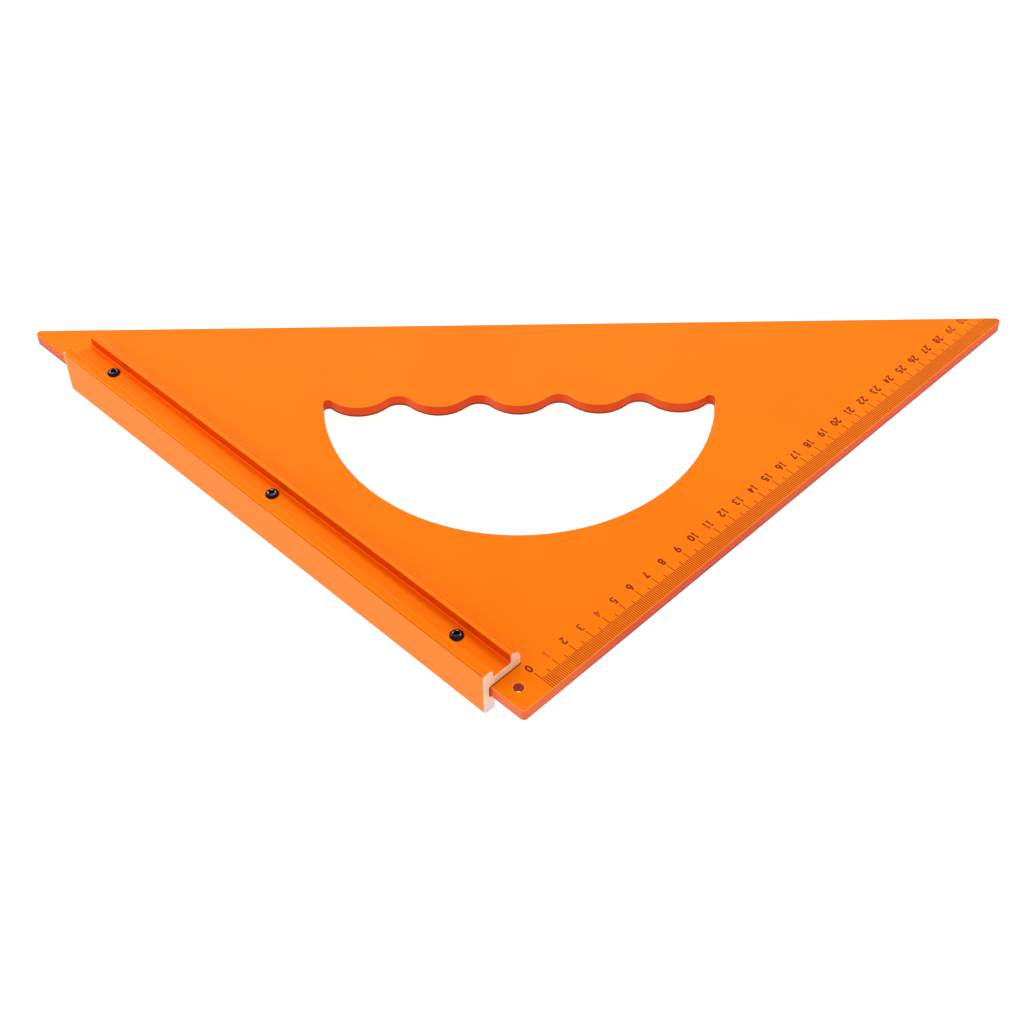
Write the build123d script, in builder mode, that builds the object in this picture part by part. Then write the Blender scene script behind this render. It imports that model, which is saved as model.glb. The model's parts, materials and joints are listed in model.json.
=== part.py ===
from build123d import *

import os
from math import sqrt

# Triangular saw guide square: a flat plastic plate with a hand hole, and an aluminium
# fence screwed along one leg. All sizes are in millimetres.
#
# Frame: +Z up, plate level, origin under the middle of the whole square, at the fence's foot.
# +X runs along the scale leg of the plate, +Y along the fence leg.

# ---- plate ----
leg_length = 333.0  # right-angle corner to either tip, before the tips are rounded
plate_thickness = 6.0
corner_radius = 2.0  # the right-angle corner, seen from above
tip_radius = 2.0  # the two pointed corners
edge_break = 0.5  # rims of the outline and of the hand hole

# ---- hand hole ----
grip_bar_width = 50.7  # long edge of the plate to the bottoms of the finger notches
grip_radius = 90.5  # big arc on the corner side of the hole
grip_arc_rise = 0.9  # centre of the big arc, beyond the line of the notch bottoms
finger_count = 4
lobe_radius = 18.0  # bumps between the fingers
notch_radius = 8.0  # hollows that the fingers lie in
lobe_overrun = 1.8  # how far an outer lobe's flank would stand outside the big arc
grip_tip_radius = 2.0  # the two pointed ends of the hole

# ---- hang hole ----
hang_hole_diameter = 4.5
hang_hole_from_fence_leg = 7.6
hang_hole_from_scale_leg = 10.4
hang_hole_chamfer = 0.4

# ---- fence ----
fence_near_margin = 18.4  # plate's right-angle corner to the fence's near end
fence_far_margin = 34.6  # fence's far end to the sharp tip of its leg
fence_back = 3.8  # outer face, outside the plate's edge
edge_gap = 0.6  # between the fence's wall and the plate's edge
flange_reach = 17.0  # plate's edge to the flange's stop face, where the scale starts
flange_thickness = 4.3
outer_lip_width = 5.6
outer_lip_height = 4.7  # above the flange
inner_lip_width = 5.3
inner_lip_height = 4.5  # above the flange
foot_reach = 2.3  # how far the foot stands in under the plate
foot_gap = 0.1  # between the foot and the plate's underside
fence_drop = 8.6  # plate's underside to the bottom of the foot
back_round = 0.8
outer_lip_round = 1.8
inner_lip_shoulder = 0.5  # its flat top, before it rounds over to the stop face
foot_round = 1.8
heel_round = 0.9
channel_round = 0.4
end_chamfer = 0.2  # deburred sawn ends

# ---- fence screws: M3 with low domed heads and hex sockets ----
screw_near_distance = 25.8  # near screw to the fence's near end
screw_far_distance = 24.2  # far screw to the fence's far end
screw_diameter = 3.0
screw_tip_inset = 0.3  # the tip stays this far inside the plate's underside
screw_head_diameter = 6.0
screw_head_height = 1.15
screw_head_rim = 0.35  # straight rim under the dome
screw_crown_diameter = 3.6  # flat ring around the socket
screw_dome_bulge = 0.15
screw_socket_size = 2.5  # across flats
screw_socket_depth = 0.9
screw_point = 0.4  # chamfer at the tip
screw_clearance = 0.2  # all round, in the flange and in the plate

# ---- threaded inserts, pressed in from the plate's underside ----
insert_wall = 0.75  # bore to the tips of the knurls
insert_cover = 1.0  # plate left above an insert
insert_knurls = 14
insert_groove_depth = 0.35
insert_groove_height = 1.2
thread_gap = 0.05  # screw to insert, all round

# ---- what follows from these ----
tip_reach = leg_length - sqrt(2) * tip_radius  # furthest point of a rounded tip
corner_x = (fence_back - tip_reach) / 2
corner_y = -tip_reach / 2
plate_bottom = fence_drop
plate_top = plate_bottom + plate_thickness
flange_top = plate_top + flange_thickness

fence_length = leg_length - fence_near_margin - fence_far_margin
fence_start_y = corner_y + fence_near_margin
outer_lip_edge = outer_lip_width - fence_back  # these two from the plate's edge
inner_lip_edge = flange_reach - inner_lip_width
inner_lip_round = inner_lip_width - inner_lip_shoulder

screw_x = corner_x + (outer_lip_edge + inner_lip_edge) / 2  # middle of the fence's channel
screw_first_y = fence_start_y + screw_near_distance
screw_last_y = fence_start_y + fence_length - screw_far_distance
screw_places = {
    "near": (screw_x, screw_first_y),
    "middle": (screw_x, (screw_first_y + screw_last_y) / 2),
    "far": (screw_x, screw_last_y),
}
screw_length = flange_thickness + plate_thickness - screw_tip_inset
screw_hole_radius = screw_diameter / 2 + screw_clearance
insert_bore_radius = screw_diameter / 2 + thread_gap
insert_radius = insert_bore_radius + insert_wall
insert_length = plate_thickness - insert_cover

# The finger scallops are set out on a plane whose X runs along the plate's long edge and
# whose Y points from the right-angle corner towards that edge.
notch_y = leg_length / sqrt(2) - grip_bar_width
finger_pitch = 2 * (grip_radius + lobe_overrun - lobe_radius) / finger_count
radius_sum = lobe_radius + notch_radius
notch_depth = radius_sum - sqrt(radius_sum**2 - (finger_pitch / 2) ** 2)
lobe_y = notch_y - notch_depth
blend_x = finger_pitch / 2 * lobe_radius / radius_sum  # lobe's middle to the next notch's arc
blend_y = lobe_y + notch_depth * lobe_radius / radius_sum
outer_lobe_x = finger_pitch * finger_count / 2
scallop_plane = Plane(
    origin=(corner_x, corner_y, plate_bottom), x_dir=(1, -1, 0), z_dir=(0, 0, 1)
)

os.makedirs("parts", exist_ok=True)


# ---- plate ----
with BuildPart() as plate:
    with BuildSketch(Plane.XY.offset(plate_bottom)):
        with BuildLine():
            Polyline(
                (corner_x, corner_y),
                (corner_x + leg_length, corner_y),
                (corner_x, corner_y + leg_length),
                close=True,
            )
        make_face()
        plate_corners = (
            ((corner_x, corner_y), corner_radius),
            ((corner_x + leg_length, corner_y), tip_radius),
            ((corner_x, corner_y + leg_length), tip_radius),
        )
        for place, radius in plate_corners:
            fillet(vertices().sort_by_distance(place)[0], radius)
    extrude(amount=plate_thickness)

    with BuildSketch(scallop_plane):
        with BuildLine():
            for step in range(1, finger_count):
                lobe_x = step * finger_pitch - outer_lobe_x
                ThreePointArc(
                    (lobe_x - blend_x, blend_y), (lobe_x, lobe_y), (lobe_x + blend_x, blend_y)
                )
            half_notch = finger_pitch / 2 - blend_x
            for step in range(finger_count):
                notch_x = (step + 0.5) * finger_pitch - outer_lobe_x
                ThreePointArc(
                    (notch_x - half_notch, blend_y),
                    (notch_x, notch_y),
                    (notch_x + half_notch, blend_y),
                )
            # The outer lobes run up to their flanks, and the big arc cuts them off.
            flank_x = outer_lobe_x + lobe_radius
            flank_y = lobe_y + lobe_radius
            for side in (-1, 1):
                ThreePointArc(
                    (side * (outer_lobe_x - blend_x), blend_y),
                    (side * outer_lobe_x, lobe_y),
                    (side * flank_x, flank_y),
                )
            below_y = notch_y - 2 * grip_radius
            Polyline(
                (flank_x, flank_y), (flank_x, below_y), (-flank_x, below_y), (-flank_x, flank_y)
            )
        make_face()
        with Locations(Location((0, notch_y + grip_arc_rise, 0), (0, 0, -90))):
            Circle(grip_radius, mode=Mode.INTERSECT)
        across = vertices().group_by(Axis.X)
        fillet(across[0] + across[-1], grip_tip_radius)
    extrude(amount=plate_thickness, mode=Mode.SUBTRACT)

    top_and_bottom = plate.faces().filter_by(Axis.Z)
    fillet(top_and_bottom.edges(), edge_break)

    hang_hole_place = (
        corner_x + hang_hole_from_fence_leg,
        corner_y + hang_hole_from_scale_leg,
        plate_top,
    )
    with Locations(hang_hole_place):
        Hole(hang_hole_diameter / 2, depth=plate_thickness)
    chamfer(plate.edges(Select.LAST).filter_by(GeomType.CIRCLE), hang_hole_chamfer)

    with Locations(*[(x, y, plate_top) for x, y in screw_places.values()]):
        Hole(screw_hole_radius, depth=plate_thickness)
    with BuildSketch(Plane.XY.offset(plate_bottom)):
        with Locations(*screw_places.values()):
            Circle(insert_radius)
    extrude(amount=insert_length, mode=Mode.SUBTRACT)

plate.part.label = "plate"
export_step(plate.part, "parts/plate.step")


# ---- fence ----
# Its section stands on a plane through the fence's near end, with X to the right and Y up,
# measured from the plate's upper edge.
section_plane = Plane(
    origin=(corner_x, fence_start_y, plate_top), x_dir=(1, 0, 0), z_dir=(0, -1, 0)
)
foot_bottom = -(plate_thickness + fence_drop)
foot_top = -(plate_thickness + foot_gap)
outer_lip_top = flange_thickness + outer_lip_height
inner_lip_top = flange_thickness + inner_lip_height

with BuildPart() as fence:
    with BuildSketch(section_plane):
        with BuildLine():
            Polyline(
                (-fence_back, foot_bottom),
                (foot_reach, foot_bottom),
                (foot_reach, foot_top),
                (-edge_gap, foot_top),
                (-edge_gap, 0),
                (flange_reach, 0),
                (flange_reach, inner_lip_top),
                (inner_lip_edge, inner_lip_top),
                (inner_lip_edge, flange_thickness),
                (outer_lip_edge, flange_thickness),
                (outer_lip_edge, outer_lip_top),
                (-fence_back, outer_lip_top),
                close=True,
            )
        make_face()
        rounded_corners = (
            ((-fence_back, foot_bottom), foot_round),
            ((foot_reach, foot_bottom), heel_round),
            ((flange_reach, inner_lip_top), inner_lip_round),
            ((inner_lip_edge, inner_lip_top), channel_round),
            ((inner_lip_edge, flange_thickness), channel_round),
            ((outer_lip_edge, flange_thickness), channel_round),
            ((outer_lip_edge, outer_lip_top), outer_lip_round),
            ((-fence_back, outer_lip_top), back_round),
        )
        for place, radius in rounded_corners:
            fillet(vertices().sort_by_distance(place)[0], radius)
    extrude(amount=-fence_length)

    along = fence.faces().sort_by(Axis.Y)
    chamfer(along[0].edges() + along[-1].edges(), end_chamfer)

    with Locations(*[(x, y, flange_top) for x, y in screw_places.values()]):
        Hole(screw_hole_radius, depth=flange_thickness)

fence.part.label = "fence"
export_step(fence.part, "parts/fence.step")


# ---- fence screws and their inserts, one of each at every place ----
for place, (x, y) in screw_places.items():
    seat = Plane(origin=(x, y, flange_top), x_dir=(1, 0, 0), z_dir=(0, -1, 0))
    shank_radius = screw_diameter / 2

    with BuildPart() as screw:
        with BuildSketch(seat):
            with BuildLine():
                Polyline(
                    (screw_head_diameter / 2, screw_head_rim),
                    (screw_head_diameter / 2, 0),
                    (shank_radius, 0),
                    (shank_radius, screw_point - screw_length),
                    (shank_radius - screw_point, -screw_length),
                    (0, -screw_length),
                    (0, screw_head_height),
                    (screw_crown_diameter / 2, screw_head_height),
                )
                SagittaArc(
                    (screw_crown_diameter / 2, screw_head_height),
                    (screw_head_diameter / 2, screw_head_rim),
                    screw_dome_bulge,
                )
            make_face()
        revolve(axis=Axis((x, y, 0), (0, 0, 1)))
        with BuildSketch(Plane.XY.offset(flange_top + screw_head_height)):
            with Locations((x, y)):
                RegularPolygon(screw_socket_size / 2, side_count=6, major_radius=False)
        extrude(amount=-screw_socket_depth, mode=Mode.SUBTRACT)

    screw.part.label = f"fence_screw_{place}"
    export_step(screw.part, f"parts/fence_screw_{place}.step")

    with BuildPart() as insert:
        with BuildSketch(Plane.XY.offset(plate_bottom)):
            with Locations((x, y)):
                RegularPolygon(insert_radius, side_count=insert_knurls)
                Circle(insert_bore_radius, mode=Mode.SUBTRACT)
        extrude(amount=insert_length)
        groove_bottom = plate_bottom + (insert_length - insert_groove_height) / 2
        with BuildSketch(Plane.XY.offset(groove_bottom)):
            with Locations((x, y)):
                Circle(insert_radius)
                Circle(insert_radius - insert_groove_depth, mode=Mode.SUBTRACT)
        extrude(amount=insert_groove_height, mode=Mode.SUBTRACT)

    insert.part.label = f"threaded_insert_{place}"
    export_step(insert.part, f"parts/threaded_insert_{place}.step")
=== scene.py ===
import json
from math import cos, radians, sin

import bmesh
import bpy
from mathutils import Euler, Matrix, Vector


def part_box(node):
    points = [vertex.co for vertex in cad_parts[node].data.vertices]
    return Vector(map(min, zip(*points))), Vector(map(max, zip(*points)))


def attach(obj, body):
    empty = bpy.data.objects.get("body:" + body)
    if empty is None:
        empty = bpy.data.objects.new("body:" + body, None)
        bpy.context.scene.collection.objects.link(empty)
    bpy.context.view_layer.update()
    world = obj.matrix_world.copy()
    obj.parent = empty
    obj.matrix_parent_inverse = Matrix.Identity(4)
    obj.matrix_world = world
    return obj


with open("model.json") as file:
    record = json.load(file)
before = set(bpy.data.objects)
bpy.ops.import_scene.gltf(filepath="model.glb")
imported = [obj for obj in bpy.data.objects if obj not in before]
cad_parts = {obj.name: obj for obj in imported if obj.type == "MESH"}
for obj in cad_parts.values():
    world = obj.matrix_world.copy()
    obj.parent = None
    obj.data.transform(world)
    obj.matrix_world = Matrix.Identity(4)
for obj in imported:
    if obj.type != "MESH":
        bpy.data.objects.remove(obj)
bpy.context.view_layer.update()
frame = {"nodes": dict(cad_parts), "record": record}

MM = 0.001
nodes = frame["nodes"]
mounts = {mount["name"]: mount for mount in frame["record"]["mounts"]}

# The plate's edges and its upper face fix where everything printed on it goes.
plate_low, plate_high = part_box("plate")
fence_low, fence_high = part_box("fence")
plate_top = plate_high.z
zero_x = mounts["scale_stop_face"]["pos_m"][0]  # the scale counts from the fence's stop face
scale_edge_y = plate_low.y
long_edge = Vector(mounts["mitre_edge"]["pos_m"])
hang_hole = mounts["hang_hole"]["pos_m"]
hang_hole_radius = mounts["hang_hole"]["dims"]["r_mm"] * MM


# ---------------------------------------------------------------- shader maths


class Value:
    """An output of a node. Arithmetic on it adds Math nodes to its finish."""

    def __init__(self, finish, socket):
        self.finish = finish
        self.socket = socket

    def math(self, operation, *values, clamp=False):
        settings = {"operation": operation, "use_clamp": clamp}
        return self.finish.node("Math", settings, dict(enumerate(values)))

    def __add__(self, other):
        return self.math("ADD", self, other)

    def __sub__(self, other):
        return self.math("SUBTRACT", self, other)

    def __rsub__(self, other):
        return self.math("SUBTRACT", other, self)

    def __mul__(self, other):
        return self.math("MULTIPLY", self, other)

    __radd__ = __add__
    __rmul__ = __mul__

    def size(self):
        return self.math("ABSOLUTE", self)

    def power(self, exponent):
        return self.math("POWER", self, exponent)

    def band(self, start, full_start, full_end, end):
        """1 between the two full places, and 0 outside start and end."""
        return self.ramp(start, full_start) * self.ramp(end, full_end)

    def ramp(self, low, high):
        """0 below low, 1 above high, and smooth between. low may be the larger one."""
        start, end, first, last = (low, high, 0.0, 1.0) if low < high else (high, low, 1.0, 0.0)
        settings = {"interpolation_type": "SMOOTHSTEP"}
        return self.finish.node(
            "MapRange", settings, {0: self, 1: start, 2: end, 3: first, 4: last}
        )


class Finish:
    """A procedural material on one Principled shader."""

    def __init__(self, name, **constants):
        self.material = bpy.data.materials.new(name)
        self.material.use_nodes = True
        self.tree = self.material.node_tree
        self.shader = self.tree.nodes["Principled BSDF"]
        for socket, value in constants.items():
            self.shader.inputs[socket.replace("_", " ")].default_value = value
        self.place = self.node("TexCoord", {}, {}, "Object")
        normal = self.node("NewGeometry", {}, {}, "Normal")
        self.facing = [self.part(normal, axis).size() for axis in "XYZ"]

    def node(self, kind, settings, inputs, output=0):
        """Adds any node: its settings first, then the values or links of its sockets."""
        made = self.tree.nodes.new("ShaderNode" + kind)
        for setting, value in settings.items():
            setattr(made, setting, value)
        for socket, value in inputs.items():
            if isinstance(value, Value):
                self.tree.links.new(value.socket, made.inputs[socket])
            else:
                made.inputs[socket].default_value = value
        return Value(self, made.outputs[output])

    def part(self, vector, axis):
        return self.node("SeparateXYZ", {}, {0: vector}, axis)

    def place_parts(self):
        return [self.part(self.place, axis) for axis in "XYZ"]

    def stretched(self, *scale):
        """The place on the piece, with each axis scaled by itself."""
        return self.node("VectorMath", {"operation": "MULTIPLY"}, {0: self.place, 1: scale})

    def noise(self, size, detail=2.0, roughness=0.5, place=None):
        """Noise with patches of about that size, in metres, around 0.5."""
        inputs = {
            "Vector": place or self.place,
            "Scale": 1 / size,
            "Detail": detail,
            "Roughness": roughness,
        }
        return self.node("TexNoise", {"noise_dimensions": "3D"}, inputs)

    def mix(self, factor, first, second):
        """first where factor is 0 and second where it is 1. Both are colours or links."""
        settings = {"data_type": "RGBA", "blend_type": "MIX"}
        return self.node("Mix", settings, {0: factor, 6: first, 7: second}, 2)

    def set(self, socket, value):
        self.tree.links.new(value.socket, self.shader.inputs[socket])

    def bump(self, height, depth):
        """Height is 0 to 1, and depth is how deep 1 is, in metres."""
        inputs = {"Strength": 1.0, "Distance": depth, "Height": height}
        self.set("Normal", self.node("Bump", {}, inputs, "Normal"))

    def cover(self, piece):
        piece.data.materials.clear()
        piece.data.materials.append(self.material)


def colour(red, green, blue):
    """A colour given as it shows on a screen, 0 to 255, turned to linear light."""
    shares = (value / 255 for value in (red, green, blue))
    linear = [v / 12.92 if v <= 0.04045 else ((v + 0.055) / 1.055) ** 2.4 for v in shares]
    return (*linear, 1.0)


# ------------------------------------------------------------------- finishes

CLOUD_SIZE = 70 * MM  # the plate's faint changes of orange
SKIN_GRAIN = 0.6 * MM
HAIRLINE_SPACING = 1.6 * MM
DYE_CLOUD_SIZE = 50 * MM
DRAWN_LINE_SPACING = 0.5 * MM
SAW_MARK_SPACING = 0.4 * MM
METAL_GRAIN = 0.2 * MM
METAL_GRAIN_DEPTH = 0.006 * MM
OXIDE_PATCH_SIZE = 1.5 * MM
GLINT_SPOT_SIZE = 0.9 * MM
INK_SPECKLE_SIZE = 0.4 * MM
INK_PATCH_SIZE = 3 * MM


def distance_from(across, along, middle_x, middle_y):
    """How far a place is from an upright axis."""
    return ((across - middle_x).power(2) + (along - middle_y).power(2)).power(0.5)


def orange_plate_finish():
    """Smooth orange sheet: deeper on its cut edges, with painted highlights and painted shade
    along its rims and edges.
    """
    finish = Finish(
        "orange_plate",
        Specular_IOR_Level=0.14,
        Specular_Tint=(1.0, 0.5, 0.1, 1.0),
        Coat_Roughness=0.3,
        Coat_Tint=(1.0, 0.8, 0.7, 1.0),
    )
    across, along, up = finish.place_parts()
    facing_across, _, facing_up = finish.facing
    clouds = finish.noise(CLOUD_SIZE, 3.0, 0.55)
    skin = finish.noise(SKIN_GRAIN, 2.0, 0.6)
    along_hairlines = finish.stretched(1.0, 0.03, 1.0)
    hairlines = finish.noise(HAIRLINE_SPACING, 2.0, 0.5, along_hairlines).ramp(0.66, 0.74)
    face = finish.mix(clouds.ramp(0.3, 0.7), colour(252, 119, 0), colour(254, 124, 2))
    cut = finish.mix(clouds.ramp(0.35, 0.65), colour(216, 64, 8), colour(228, 76, 14))
    # Painted light: the cut edges that face across are lighter.
    cut = finish.mix(0.8 * facing_across.ramp(0.85, 1.0), cut, colour(224, 86, 24))
    flat = facing_up.ramp(0.2, 0.6)
    rim = flat * facing_up.ramp(0.985, 0.93)
    # Painted shade: darker along the bottom of the edges and along the long edge's upper rim.
    low_rim_shade = up.ramp(plate_low.z + 1.8 * MM, plate_low.z + 0.6 * MM)
    low_rim_shade = low_rim_shade * facing_up.ramp(0.97, 0.8)
    to_long_edge = (long_edge[0] + long_edge[1]) - (across + along)
    far_rim_shade = to_long_edge.ramp(1.4 * MM, 0.9 * MM) * facing_up.ramp(0.995, 0.95)
    # Painted light: paler edges near the right-angle corner, which are glossier there too.
    from_corner = (across + along) - (plate_low.x + plate_low.y)
    near_corner = from_corner.ramp(70 * MM, 6 * MM)
    cut = finish.mix(0.6 * near_corner, cut, colour(238, 112, 58))
    base = finish.mix(flat, cut, face)
    # Painted highlight: a pale line along the upper rims, stronger near the corner.
    base = finish.mix((0.2 + 0.25 * near_corner) * rim, base, colour(255, 176, 104))
    # Painted shade along the lower rims and along the long edge's upper rim.
    base = finish.mix(0.9 * low_rim_shade * (1 - near_corner), base, colour(96, 38, 54))
    base = finish.mix(0.85 * far_rim_shade, base, colour(160, 84, 44))
    # Painted shade: darker red on the wall of the drilled hang hole.
    from_hole = distance_from(across, along, *hang_hole[:2])
    hole_wall_shade = from_hole.ramp(1.4 * hang_hole_radius, 1.3 * hang_hole_radius) * (1 - flat)
    base = finish.mix(0.45 * hole_wall_shade, base, colour(130, 34, 40))
    # Painted shade: a dark line under the flange's near end.
    under_end_shade = (along - fence_low.y).size().ramp(0.6 * MM, 0.25 * MM)
    under_end_shade = under_end_shade * across.ramp(zero_x + 0.3 * MM, zero_x - 0.1 * MM) * flat
    under_end_shade = under_end_shade * up.ramp(plate_top - 1 * MM, plate_top - 0.5 * MM)
    base = finish.mix(0.8 * under_end_shade, base, colour(96, 28, 4))
    sheen = 0.05 + 0.04 * near_corner + (0.06 + 0.22 * near_corner) * facing_across
    sheen = sheen * (1 - flat) * (1 - hole_wall_shade) * (1 - low_rim_shade)
    finish.set("Coat Weight", sheen * (1 - far_rim_shade))
    finish.set("Base Color", base)
    finish.set("Roughness", 0.34 + 0.12 * skin + 0.1 * clouds + 0.08 * hairlines)
    finish.bump(skin + 0.5 * hairlines, 0.02 * MM)
    return finish


def orange_fence_finish():
    """Orange anodised extrusion with its drawn lines, bare where it was sawn off."""
    finish = Finish(
        "orange_anodised_fence",
        Specular_IOR_Level=0.3,
        Specular_Tint=(1.0, 0.6, 0.1, 1.0),
        Coat_Roughness=0.3,
    )
    across, along, up = finish.place_parts()
    facing_across, facing_along, facing_up = finish.facing
    drawn = finish.noise(DRAWN_LINE_SPACING, 2.0, 0.6, finish.stretched(1.0, 0.004, 1.0))
    clouds = finish.noise(DYE_CLOUD_SIZE, 2.0)
    sawn = facing_along.ramp(0.55, 0.75)
    saw_marks = finish.noise(SAW_MARK_SPACING, 2.0, 0.6, finish.stretched(0.08, 1.0, 1.0))
    dyed = finish.mix(drawn.ramp(0.3, 0.7), colour(250, 108, 2), colour(252, 116, 4))
    # Painted shade: deeper orange on the channel's inner wall.
    channel_wall_shade = across.band(
        zero_x - 7.5 * MM, zero_x - 6.0 * MM, zero_x - 5 * MM, zero_x - 3 * MM
    )
    channel_wall_shade = channel_wall_shade * facing_across.ramp(0.3, 0.8)
    dyed = finish.mix(0.7 * channel_wall_shade, dyed, colour(198, 84, 0))
    # Painted light: lighter orange on the outer face. Painted shade: a dark line along its upper
    # edge.
    outer_face = across.ramp(fence_low.x + 1.6 * MM, fence_low.x + 0.4 * MM)
    dyed = finish.mix(0.8 * outer_face, dyed, colour(254, 132, 14))
    upper_edge_shade = outer_face * facing_across.ramp(0.35, 0.6) * facing_up.ramp(0.3, 0.6)
    upper_edge_shade = upper_edge_shade * up.ramp(plate_high.z, plate_high.z + 2 * MM)
    dyed = finish.mix(0.75 * upper_edge_shade, dyed, colour(176, 66, 4))
    # Painted light: lighter on the lips' rounded sides, which are also duller.
    outer_lip_side = across.band(
        fence_low.x + 4.2 * MM,
        fence_low.x + 5.2 * MM,
        fence_low.x + 5.7 * MM,
        fence_low.x + 6.2 * MM,
    )
    inner_lip_side = across.ramp(zero_x - 2.4 * MM, zero_x - 0.8 * MM)
    lip_side = outer_lip_side + inner_lip_side
    lip_side = lip_side * up.ramp(plate_high.z + 1 * MM, plate_high.z + 4 * MM)
    dyed = finish.mix(0.8 * lip_side, dyed, colour(255, 138, 14))
    # Browner at the foot.
    foot = up.ramp(fence_low.z + 2.4 * MM, fence_low.z + 0.6 * MM)
    dyed = finish.mix(0.5 * foot, dyed, colour(206, 96, 30))
    # Painted highlight: a pale line along the outer face's far edge. Both sawn ends are bare.
    far_edge_highlight = outer_face * along.ramp(fence_high.y - 1.3 * MM, fence_high.y - 0.5 * MM)
    dyed = finish.mix(0.7 * far_edge_highlight, dyed, colour(255, 214, 160))
    bare = finish.mix(saw_marks.ramp(0.3, 0.7), colour(250, 212, 180), colour(255, 230, 206))
    below_plate = up.ramp(plate_low.z + 1 * MM, plate_low.z - 4 * MM)
    bare = finish.mix(below_plate, bare, colour(232, 220, 226))
    finish.set("Base Color", finish.mix(sawn, dyed, bare))
    finish.set("Coat Weight", 0.2 * outer_face * facing_across.ramp(0.6, 0.95))
    finish.set("Metallic", (0.6 - 0.4 * sawn) * (1 - 0.9 * lip_side))
    finish.set("Roughness", 0.3 + 0.12 * drawn + 0.05 * clouds + 0.2 * sawn + 0.25 * lip_side)
    finish.bump(drawn + sawn * (saw_marks - drawn), 0.01 * MM)
    return finish


def black_screw_finish(name, screw):
    """Black-oxide steel, with small painted glints round the socket's rim."""
    finish = Finish(name, Metallic=0.7)
    low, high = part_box(screw)
    middle = (low + high) / 2
    across, along, up = finish.place_parts()
    from_middle = distance_from(across, along, middle.x, middle.y)
    socket_rim = from_middle.band(1.2 * MM, 1.4 * MM, 1.8 * MM, 2.0 * MM)
    socket_rim = socket_rim * up.ramp(high.z - 0.4 * MM, high.z - 0.2 * MM)
    grain = finish.noise(METAL_GRAIN, 3.0, 0.6)
    patches = finish.noise(OXIDE_PATCH_SIZE, 2.0).ramp(0.5, 0.75)
    black = finish.mix(patches, colour(14, 14, 22), colour(30, 28, 34))
    # Painted glints: pale spots round the socket's rim.
    socket_glints = socket_rim * finish.noise(GLINT_SPOT_SIZE, 2.0).ramp(0.5, 0.6)
    finish.set("Base Color", finish.mix(0.7 * socket_glints, black, colour(168, 164, 168)))
    finish.set("Roughness", 0.16 + 0.15 * grain)
    finish.bump(grain, METAL_GRAIN_DEPTH)
    return finish


def brass_insert_finish():
    """Turned brass with a fine grain."""
    finish = Finish("brass_insert", Metallic=1.0)
    rings = finish.noise(METAL_GRAIN, 2.0, 0.6)
    brass = finish.mix(rings.ramp(0.3, 0.7), colour(196, 152, 84), colour(220, 178, 104))
    finish.set("Base Color", brass)
    finish.set("Roughness", 0.25 + 0.2 * rings)
    finish.bump(rings, METAL_GRAIN_DEPTH)
    return finish


def scale_ink_finish():
    """Brown printed marks. Each mark carries how far it has faded towards the plate's orange."""
    finish = Finish("brown_scale_ink", Specular_IOR_Level=0.1)
    faded = finish.node("Attribute", {"attribute_name": "faded"}, {}, "Fac")
    speckle = finish.noise(INK_SPECKLE_SIZE, 2.0, 0.6)
    patchy = finish.noise(INK_PATCH_SIZE, 2.0)
    ink = finish.mix(speckle.ramp(0.3, 0.7), colour(124, 34, 10), colour(144, 46, 14))
    thin = (faded + 0.6 * (patchy - 0.5)).ramp(0.0, 1.0)
    finish.set("Base Color", finish.mix(thin, ink, colour(240, 118, 24)))
    finish.set("Roughness", 0.45 + 0.2 * speckle)
    return finish


# ------------------------------------------------------------- printed scale

SCALE_END = 312  # millimetre marks go on past 30, towards the tip
NUMBER_COUNT = 31
MARK_WIDTH = 0.35 * MM
MARK_START = 0.45 * MM  # from the plate's edge
MARK_REACH = {"millimetre": 6.9 * MM, "half_centimetre": 8.7 * MM, "centimetre": 10.9 * MM}
NUMBER_MIDDLE = 13.85 * MM  # from the plate's edge
NUMBER_HEIGHT = 4.15 * MM
NUMBER_STROKE = 0.86 * MM
DIGIT_GAP = 0.22 * MM
INK_PROUD = 0.02 * MM
INK_SUNK = 0.05 * MM
INK_MARGIN = 0.6 * MM  # the print stops this far short of the long edge


def digit_width(digit):
    return (2.0 if digit == "1" else 2.5) * MM


def arc(middle, radii, start, end):
    """Points round part of an ellipse, from one angle in degrees to another."""
    count = max(3, round(abs(end - start) / 18))
    angles = [radians(start + (end - start) * step / count) for step in range(count + 1)]
    return [(middle[0] + radii[0] * cos(a), middle[1] + radii[1] * sin(a)) for a in angles]


# The strokes of each digit, 0 to 1 from its left to its right and from its foot to its top.
DIGIT_STROKES = {
    "0": [arc((0.5, 0.5), (0.5, 0.5), 90, 450)],
    "1": [[(0.5, 0), (0.5, 1), (0.1, 0.78)], [(0.05, 0), (0.95, 0)]],
    "2": [arc((0.5, 0.71), (0.48, 0.29), 170, -38) + [(0, 0), (1, 0)]],
    "3": [
        arc((0.47, 0.76), (0.45, 0.24), 150, -90),
        arc((0.47, 0.26), (0.53, 0.26), 90, -150),
    ],
    "4": [[(0.72, 0), (0.72, 1)], [(0.72, 0.98), (0, 0.28), (1, 0.28)]],
    "5": [[(0.92, 1), (0.16, 1), (0.08, 0.54)] + arc((0.45, 0.31), (0.55, 0.31), 118, -150)],
    "6": [arc((0.8, 0.29), (0.8, 0.71), 95, 172), arc((0.5, 0.29), (0.5, 0.29), 180, 540)],
    "7": [[(0, 1), (1, 1), (0.36, 0)]],
    "8": [arc((0.5, 0.77), (0.42, 0.23), 90, 450), arc((0.5, 0.27), (0.5, 0.27), 90, 450)],
    "9": [arc((0.2, 0.71), (0.8, 0.71), -85, -8), arc((0.5, 0.71), (0.5, 0.29), 0, 360)],
}


def fade_of(position):
    """How faded the print is, position being centimetres along the scale."""
    faded_at = {1: 0.5, 2: 0.2, 3: 0.3, 4: 0.35, 5: 0.25, 29: 0.35, 30: 0.4}
    return faded_at.get(round(position), 0.06)


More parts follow.
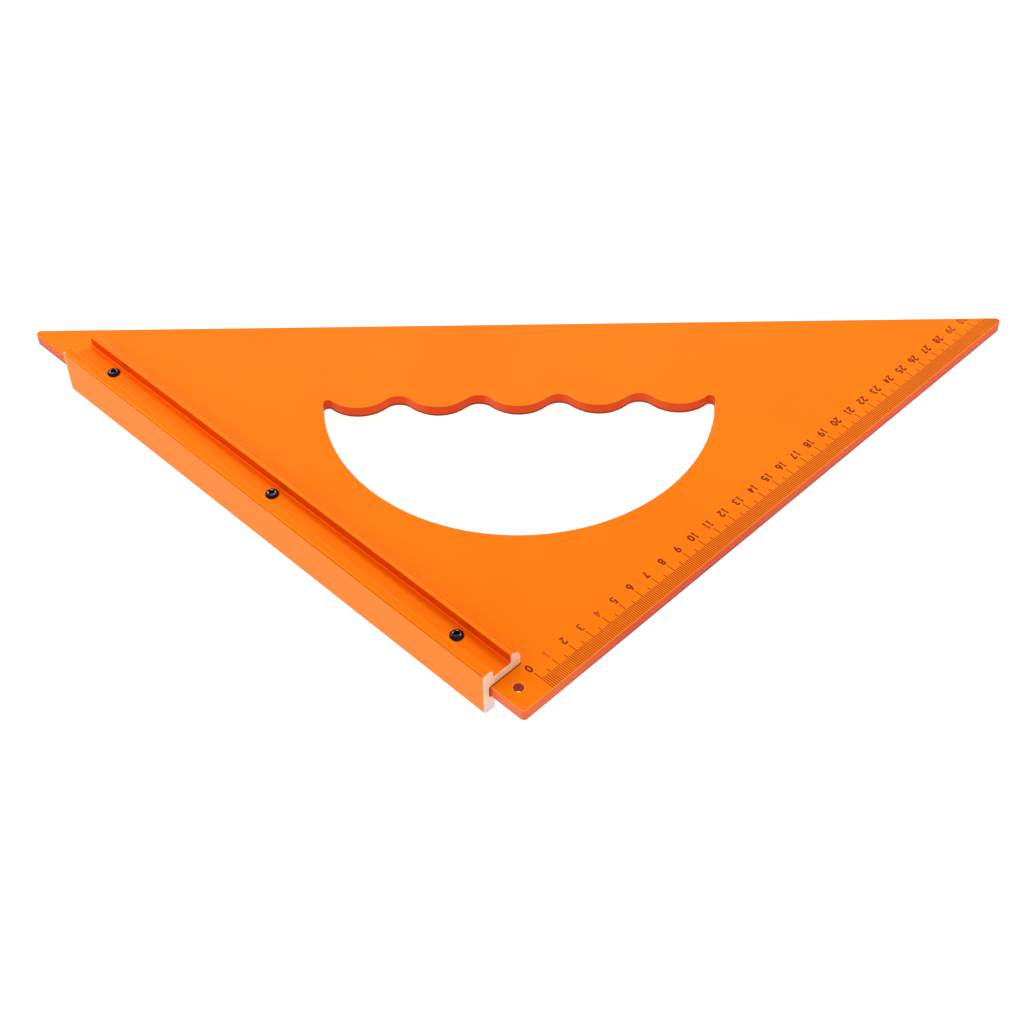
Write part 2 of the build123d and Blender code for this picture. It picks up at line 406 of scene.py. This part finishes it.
def ribbon(shape, line, width, top, fade):
    """Adds a thin printed band along a line to shape, as a closed solid."""
    faded = shape.verts.layers.float["faded"]
    closed = (line[0] - line[-1]).length < 0.1 * width
    points = line[:-1] if closed else line
    last = len(points) - 1
    rings = []
    for index, point in enumerate(points):
        before = points[index - 1] if index or closed else point
        after = points[(index + 1) % len(points)] if index < last or closed else point
        ways = [way.normalized() for way in (point - before, after - point) if way.length]
        way = sum(ways, Vector((0, 0))).normalized()
        side = Vector((-way.y, way.x)) * (width / 2 / max(0.6, way.dot(ways[0])))
        ring = [(point + side, top), (point - side, top)]
        ring += [(point - side, plate_top - INK_SUNK), (point + side, plate_top - INK_SUNK)]
        rings.append([shape.verts.new((place.x, place.y, z)) for place, z in ring])
    for ring in rings:
        for corner in ring:
            corner[faded] = fade
    for a, b in zip(rings, rings[1:] + rings[:1] * closed):
        for corner in range(4):
            other = (corner + 1) % 4
            shape.faces.new((a[corner], a[other], b[other], b[corner]))
    if not closed:
        shape.faces.new(reversed(rings[0]))
        shape.faces.new(rings[-1])


def printed_piece(name, draw):
    """One printed mesh: draw fills it, then whatever runs past the long edge is cut off."""
    shape = bmesh.new()
    shape.verts.layers.float.new("faded")
    draw(shape)
    outwards = Vector((1, 1, 0)).normalized()
    everything = shape.verts[:] + shape.edges[:] + shape.faces[:]
    bmesh.ops.bisect_plane(
        shape,
        geom=everything,
        plane_co=long_edge - outwards * INK_MARGIN,
        plane_no=outwards,
        clear_outer=True,
    )
    bmesh.ops.holes_fill(shape, edges=[edge for edge in shape.edges if edge.is_boundary])
    bmesh.ops.recalc_face_normals(shape, faces=shape.faces)
    mesh = bpy.data.meshes.new(name)
    shape.to_mesh(mesh)
    shape.free()
    piece = bpy.data.objects.new(name, mesh)
    bpy.context.scene.collection.objects.link(piece)
    return piece


def scale_marks(kind, positions):
    """Bars across the scale, one at each position in millimetres from the zero."""

    def draw(shape):
        for position in positions:
            x = zero_x + position * MM
            line = [Vector((x, scale_edge_y + y)) for y in (MARK_START, MARK_REACH[kind])]
            ribbon(shape, line, MARK_WIDTH, plate_top + INK_PROUD, 0.5 * fade_of(position / 10))

    return printed_piece(f"{kind}_marks", draw)


def scale_numbers():
    """The numbers, read from the far side of the scale, so they stand half turned round."""

    def draw(shape):
        for number in range(NUMBER_COUNT):
            digits = str(number)
            total = sum(digit_width(digit) for digit in digits) + DIGIT_GAP * (len(digits) - 1)
            left = -total / 2
            for digit in digits:
                for layer, stroke in enumerate(DIGIT_STROKES[digit]):
                    line = []
                    for across, up in stroke:
                        room = digit_width(digit) - NUMBER_STROKE
                        x = left + NUMBER_STROKE / 2 + across * room
                        y = (up - 0.5) * (NUMBER_HEIGHT - NUMBER_STROKE)
                        place = (zero_x + number * 10 * MM - x, scale_edge_y + NUMBER_MIDDLE - y)
                        line.append(Vector(place))
                    top = plate_top + INK_PROUD - 0.002 * layer * MM
                    ribbon(shape, line, NUMBER_STROKE, top, fade_of(number))
                left += digit_width(digit) + DIGIT_GAP

    return printed_piece("scale_numbers", draw)


def printed_scale():
    every = range(SCALE_END + 1)
    ink = scale_ink_finish()
    for piece in (
        scale_marks("centimetre", [p for p in every if p % 10 == 0]),
        scale_marks("half_centimetre", [p for p in every if p % 10 == 5]),
        scale_marks("millimetre", [p for p in every if p % 5]),
        scale_numbers(),
    ):
        ink.cover(piece)
        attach(piece, "root")


# ------------------------------------------------------ camera, floor and light

LENS = 60.02  # on a sensor 36 wide
AIM = Vector((-89.008, -85.509, 14.6)) * MM
VIEW_DISTANCE = 737.512 * MM
VIEW_ANGLES = (44.2190, 0.6250, -45.4364)
FLOOR_REACH = 12.0
FLOOR_GLOW = 0.92
SKY_STRENGTH = 0.7
# Name, place, width and power of each soft light.
SOFTBOXES = (
    ("left_softbox", (-1.4, 0.3, 0.8), 1.0, 4.6),
    ("far_left_softbox", (-0.3, 0.85, 0.65), 0.6, 2.9),
    ("far_right_softbox", (0.85, -0.3, 0.65), 0.6, 3.2),
    ("back_softbox", (0.7, 0.8, 0.8), 0.9, 3.2),
)


def camera():
    data = bpy.data.cameras.new("camera")
    data.lens = LENS
    data.sensor_width = 36.0
    data.clip_start = 0.01
    eye = bpy.data.objects.new("camera", data)
    turn = Euler([radians(angle) for angle in VIEW_ANGLES])
    eye.rotation_euler = turn
    eye.location = AIM + turn.to_matrix() @ Vector((0, 0, VIEW_DISTANCE))
    bpy.context.scene.collection.objects.link(eye)
    bpy.context.scene.camera = eye


def floor():
    mesh = bpy.data.meshes.new("floor")
    turns = ((-1, -1), (1, -1), (1, 1), (-1, 1))
    corners = [(x * FLOOR_REACH, y * FLOOR_REACH, 0) for x, y in turns]
    mesh.from_pydata(corners, [], [(0, 1, 2, 3)])
    piece = bpy.data.objects.new("floor", mesh)
    bpy.context.scene.collection.objects.link(piece)
    finish = Finish("white_floor", Roughness=0.9, Specular_IOR_Level=0.1)
    finish.shader.inputs["Base Color"].default_value = (0.3, 0.3, 0.3, 1)
    finish.shader.inputs["Emission Color"].default_value = (1, 1, 1, 1)
    finish.shader.inputs["Emission Strength"].default_value = FLOOR_GLOW
    finish.cover(piece)


def softbox(name, place, size, power):
    data = bpy.data.lights.new(name, "AREA")
    data.shape = "DISK"
    data.size = size
    data.energy = power
    lamp = bpy.data.objects.new(name, data)
    lamp.location = place
    lamp.rotation_euler = (AIM - Vector(place)).to_track_quat("-Z", "Y").to_euler()
    bpy.context.scene.collection.objects.link(lamp)


def studio():
    world = bpy.data.worlds.new("studio")
    world.use_nodes = True
    background = world.node_tree.nodes["Background"]
    background.inputs["Color"].default_value = (1, 1, 1, 1)
    background.inputs["Strength"].default_value = SKY_STRENGTH
    bpy.context.scene.world = world
    bpy.context.scene.view_settings.view_transform = "Standard"
    for light in SOFTBOXES:
        softbox(*light)


camera()
floor()
studio()
orange_plate_finish().cover(nodes["plate"])
orange_fence_finish().cover(nodes["fence"])
insert_finish = brass_insert_finish()
for name, node in nodes.items():
    if name.startswith("fence_screw"):
        black_screw_finish(f"black_oxide_{name}", name).cover(node)
    if name.startswith("threaded_insert"):
        insert_finish.cover(node)
printed_scale()
